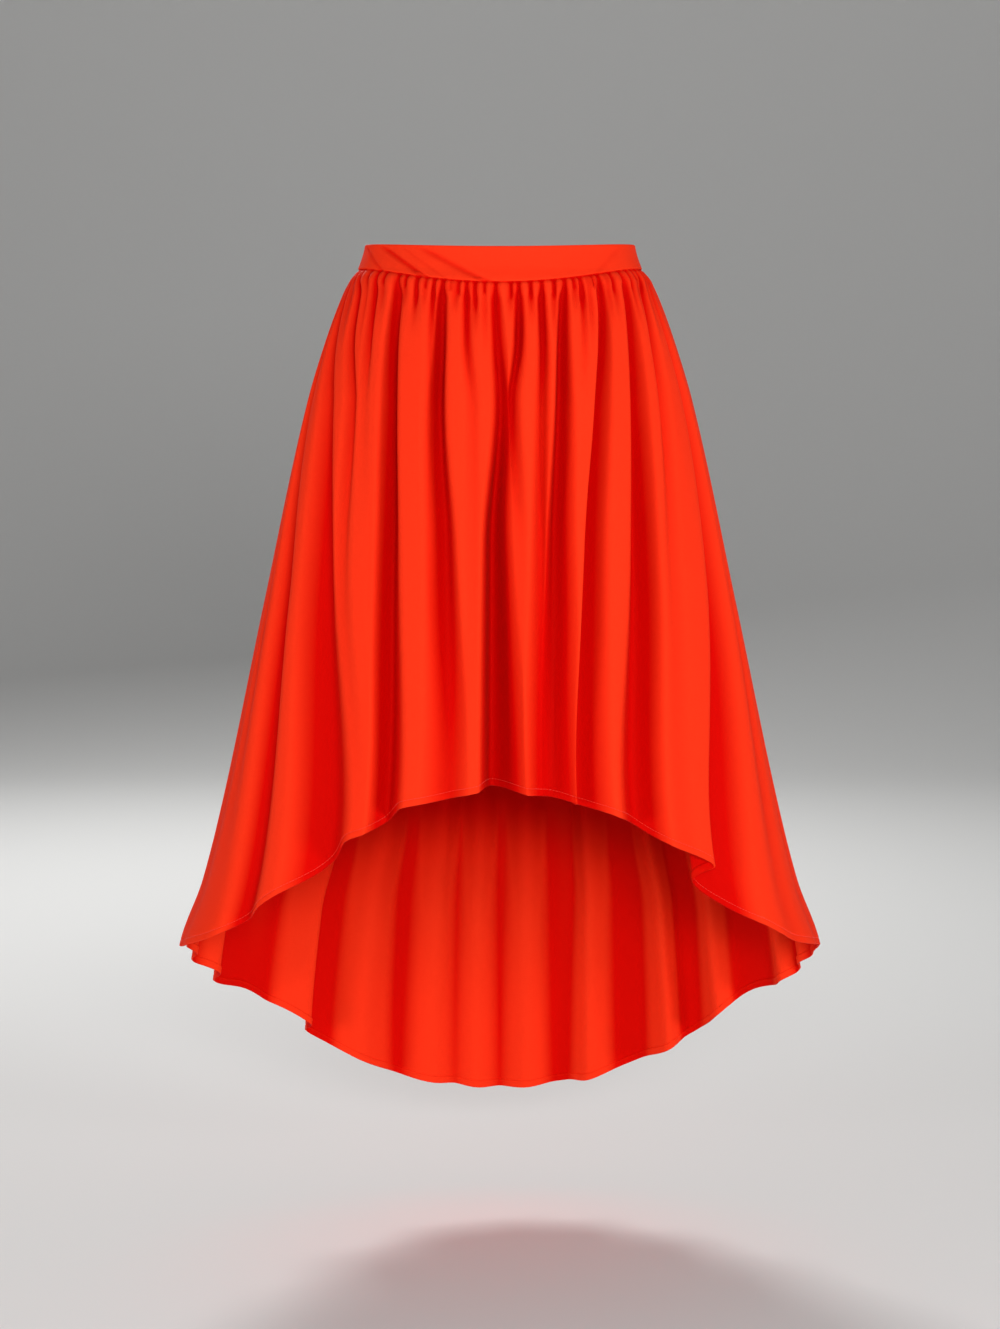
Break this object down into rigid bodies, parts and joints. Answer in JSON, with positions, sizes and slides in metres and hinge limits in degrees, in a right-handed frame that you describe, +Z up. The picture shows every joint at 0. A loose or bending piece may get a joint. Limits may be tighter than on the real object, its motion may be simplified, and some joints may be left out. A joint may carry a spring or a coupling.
{
  "type": "high-low skirt",
  "caption": "Gathered high-low skirt, short at the front and long at the back, on a shaped waistband with an elasticated back, filled out as worn.",
  "frame": {"origin": "centre of the waist inside the waistband, where the wearer holds the skirt up", "axes": "+Z up, -Y towards the front of the skirt, +X to the right as seen from the front"},
  "size_m": [0.6543, 0.477, 0.9279],
  "materials": {
    "skirt_cloth": "fine plain weave with a soft sheen",
    "band_cloth": "fine plain weave, doubled and fused",
    "thread": "spun sewing thread"
  },
  "bodies": {
    "root": {"waistband_front": "band_cloth", "waistband_back": "band_cloth", "skirt_front": "skirt_cloth", "skirt_back": "skirt_cloth"}
  },
  "joints": []
}
